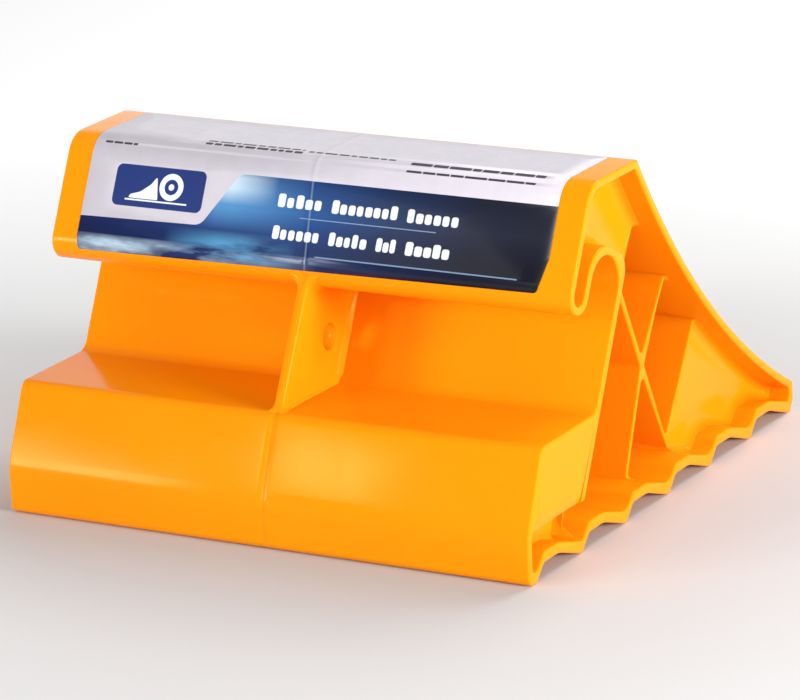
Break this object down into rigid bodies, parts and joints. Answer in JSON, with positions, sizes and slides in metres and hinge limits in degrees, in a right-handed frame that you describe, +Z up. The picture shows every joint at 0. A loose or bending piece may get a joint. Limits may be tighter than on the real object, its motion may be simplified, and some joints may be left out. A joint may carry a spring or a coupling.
{
  "type": "wheel chock",
  "caption": "Moulded wheel chock with a concave tyre ramp, saw-toothed sole, front step and hooked carrying handle with a centre gusset and a wrapped label.",
  "frame": {"origin": "on the ground, under the middle of the bounding box", "axes": "+Z up, +Y from the handle and step towards the toe (the end that goes under the tyre first), +X across the chock"},
  "size_m": [0.216, 0.2208, 0.1316],
  "materials": {
    "moulded_plastic": "satin, as moulded, slightly translucent",
    "label_film": "printed film, pale grey top over a dark blue panel"
  },
  "bodies": {
    "root": {"scalloped_sole": "moulded_plastic", "tyre_ramp": "moulded_plastic", "front_panel": "moulded_plastic", "step_shelf": "moulded_plastic", "back_wall": "moulded_plastic", "handle_grip": "moulded_plastic", "toe_rib": "moulded_plastic", "handle_cell_wall": "moulded_plastic", "rising_brace": "moulded_plastic", "falling_brace": "moulded_plastic", "handle_end_right": "moulded_plastic", "handle_end_left": "moulded_plastic", "step_end_right": "moulded_plastic", "step_end_left": "moulded_plastic", "toe_end_right": "moulded_plastic", "toe_end_left": "moulded_plastic", "step_web": "moulded_plastic", "handle_web": "moulded_plastic", "toe_web": "moulded_plastic", "brace_web": "moulded_plastic", "handle_gusset": "moulded_plastic", "printed_label": "label_film"}
  },
  "joints": []
}
